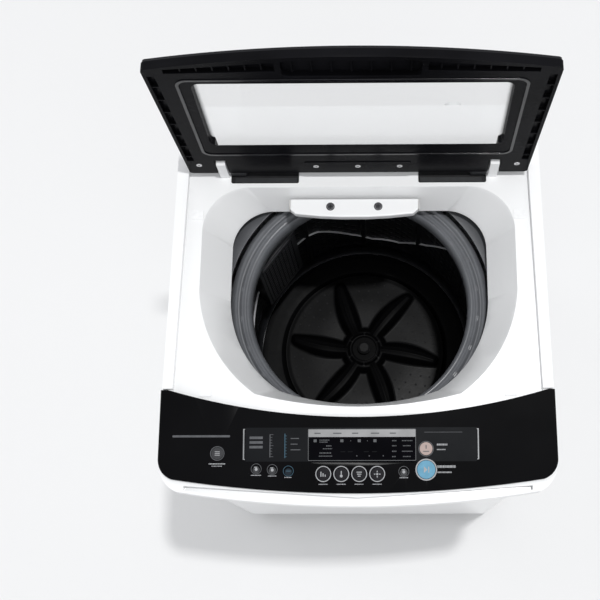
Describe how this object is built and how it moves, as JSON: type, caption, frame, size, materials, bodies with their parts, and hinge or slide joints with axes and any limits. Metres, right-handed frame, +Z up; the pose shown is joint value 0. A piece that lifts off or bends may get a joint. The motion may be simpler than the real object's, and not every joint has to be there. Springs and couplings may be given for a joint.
{
  "type": "top load washing machine",
  "caption": "Free-standing top load washing machine with hinged glass lid, sloping control panel, spin basket, pulsator and belt drive hung on springs.",
  "frame": {"origin": "on the floor under the centre of the bounding box, on the axis of the wash tub", "axes": "+Z up, -Y towards the control panel at the front, +X to the right of a person facing the front"},
  "size_m": [0.573, 0.628, 1.2599],
  "materials": {
    "white_plastic": "gloss",
    "panel_black": "gloss",
    "display_glass": "gloss",
    "silver_trim": "satin",
    "key_grey": "matte",
    "key_cream": "satin",
    "key_blue": "gloss",
    "key_dark": "gloss",
    "board_green": "satin",
    "screw_dark": "satin",
    "pad_rubber": "matte",
    "foot_rubber": "matte",
    "pin_steel": "satin",
    "hinge_grey": "matte",
    "lid_black": "gloss",
    "lid_clear": "gloss",
    "screw_steel": "satin",
    "cabinet_white": "gloss",
    "zinc_sheet": "satin",
    "spring_steel": "satin",
    "tub_plastic": "matte",
    "tub_ring_grey": "satin",
    "basket_steel": "satin",
    "base_grey": "satin",
    "ring_grey": "satin",
    "cast_alloy": "matte",
    "pulsator_grey": "satin",
    "bearing_steel": "satin",
    "seal_rubber": "matte",
    "motor_metal": "satin",
    "motor_pulley_steel": "satin",
    "valve_plastic": "satin",
    "filter_grey": "satin"
  },
  "bodies": {
    "cabinet": {"top_cover": "white_plastic", "inlet_box": "white_plastic", "base_frame": "white_plastic", "hinge_ears": "white_plastic", "control_panel": "panel_black", "display_window": "display_glass", "panel_trim": "silver_trim", "display_board": "board_green", "inlet_screws": "screw_dark", "bumper_pads": "pad_rubber", "foot_pads": "foot_rubber", "hinge_pins": "pin_steel", "suspension_rods": "pin_steel", "levelling_feet": "screw_steel", "cabinet_wrap": "cabinet_white", "cabinet_back": "zinc_sheet", "corner_plates": "zinc_sheet", "suspension_springs": "spring_steel", "inlet_valve": "valve_plastic", "pressure_switch": "valve_plastic", "drain_outlet": "valve_plastic"},
    "lid": {"hinge_arms": "hinge_grey", "lid_frame": "lid_black", "lid_glass": "lid_clear", "lid_ridge": "lid_black", "lid_hinge_bar": "lid_black", "lid_screws": "screw_steel"},
    "tub": {"outer_tub": "tub_plastic", "tub_top_ring": "tub_ring_grey", "tub_carrier": "zinc_sheet", "clutch_housing": "cast_alloy", "spin_bearings": "bearing_steel", "shaft_seal": "seal_rubber", "motor": "motor_metal", "motor_bracket": "zinc_sheet", "drive_belt": "seal_rubber", "drain_valve": "valve_plastic"},
    "basket": {"basket_shell": "basket_steel", "basket_base": "base_grey", "balance_ring": "ring_grey", "basket_flange": "cast_alloy", "spin_shaft": "pin_steel", "filter_housing": "filter_grey"},
    "pulsator_unit": {"pulsator": "pulsator_grey", "pulsator_cap": "pulsator_grey", "wash_shaft": "pin_steel", "drive_pulley": "cast_alloy"},
    "filter": {"lint_filter": "filter_grey"},
    "rotor": {"motor_pulley": "motor_pulley_steel"},
    "key_menu_cap": {"key_menu": "key_grey"},
    "key_power_cap": {"key_power": "key_cream"},
    "key_start_cap": {"key_start": "key_blue"},
    "key_level_cap": {"key_level": "key_dark"},
    "key_temp_cap": {"key_temp": "key_dark"},
    "key_rinse_cap": {"key_rinse": "key_dark"},
    "key_spin_cap": {"key_spin": "key_dark"},
    "key_soak_cap": {"key_soak": "key_grey"},
    "key_delay_cap": {"key_delay": "key_grey"},
    "key_wash_cap": {"key_wash": "key_blue"},
    "key_lock_cap": {"key_lock": "key_grey"}
  },
  "joints": [
    {"name": "lid_hinge", "type": "hinge", "parent": "cabinet", "child": "lid", "pos_m": [0, 0.18882, 0.90085], "axis": [1, 0, 0], "range_deg": [0, 91.5]},
    {"name": "tub_suspension", "type": "slide", "parent": "cabinet", "child": "tub", "axis": [0, 0, 1], "range_m": [-0.012, 0.006], "stiffness_N_per_m": 10000, "springref_m": 0.0266, "deforming": ["suspension_springs"]},
    {"name": "basket_spin", "type": "hinge", "parent": "tub", "child": "basket", "pos_m": [0, 0, 0.45], "axis": [0, 0, 1], "continuous": true},
    {"name": "pulsator_spin", "type": "hinge", "parent": "tub", "child": "pulsator_unit", "pos_m": [0, 0, 0.45], "axis": [0, 0, 1], "continuous": true},
    {"name": "motor_spin", "type": "hinge", "parent": "tub", "child": "rotor", "pos_m": [0.15, 0.06, 0.292], "axis": [0, 0, 1], "continuous": true},
    {"name": "filter_pull", "type": "slide", "parent": "basket", "child": "filter", "axis": [0.8066, -0.5911, 0], "range_m": [0, 0.06]},
    {"name": "key_menu_push", "type": "slide", "parent": "cabinet", "child": "key_menu_cap", "axis": [0, 0.1702, -0.9854], "range_m": [0, 0.001], "stiffness_N_per_m": 900, "springref_m": -0.0006},
    {"name": "key_power_push", "type": "slide", "parent": "cabinet", "child": "key_power_cap", "axis": [0, 0.1702, -0.9854], "range_m": [0, 0.001], "stiffness_N_per_m": 900, "springref_m": -0.0006},
    {"name": "key_start_push", "type": "slide", "parent": "cabinet", "child": "key_start_cap", "axis": [0, 0.1702, -0.9854], "range_m": [0, 0.001], "stiffness_N_per_m": 900, "springref_m": -0.0006},
    {"name": "key_level_push", "type": "slide", "parent": "cabinet", "child": "key_level_cap", "axis": [0, 0.1702, -0.9854], "range_m": [0, 0.001], "stiffness_N_per_m": 900, "springref_m": -0.0006},
    {"name": "key_temp_push", "type": "slide", "parent": "cabinet", "child": "key_temp_cap", "axis": [0, 0.1702, -0.9854], "range_m": [0, 0.001], "stiffness_N_per_m": 900, "springref_m": -0.0006},
    {"name": "key_rinse_push", "type": "slide", "parent": "cabinet", "child": "key_rinse_cap", "axis": [0, 0.1702, -0.9854], "range_m": [0, 0.001], "stiffness_N_per_m": 900, "springref_m": -0.0006},
    {"name": "key_spin_push", "type": "slide", "parent": "cabinet", "child": "key_spin_cap", "axis": [0, 0.1702, -0.9854], "range_m": [0, 0.001], "stiffness_N_per_m": 900, "springref_m": -0.0006},
    {"name": "key_soak_push", "type": "slide", "parent": "cabinet", "child": "key_soak_cap", "axis": [0, 0.1702, -0.9854], "range_m": [0, 0.001], "stiffness_N_per_m": 900, "springref_m": -0.0006},
    {"name": "key_delay_push", "type": "slide", "parent": "cabinet", "child": "key_delay_cap", "axis": [0, 0.1702, -0.9854], "range_m": [0, 0.001], "stiffness_N_per_m": 900, "springref_m": -0.0006},
    {"name": "key_wash_push", "type": "slide", "parent": "cabinet", "child": "key_wash_cap", "axis": [0, 0.1702, -0.9854], "range_m": [0, 0.001], "stiffness_N_per_m": 900, "springref_m": -0.0006},
    {"name": "key_lock_push", "type": "slide", "parent": "cabinet", "child": "key_lock_cap", "axis": [0, 0.1702, -0.9854], "range_m": [0, 0.001], "stiffness_N_per_m": 900, "springref_m": -0.0006}
  ],
  "couplings": [
    {"joint": "motor_spin", "follows": "pulsator_spin", "ratio": 3}
  ]
}
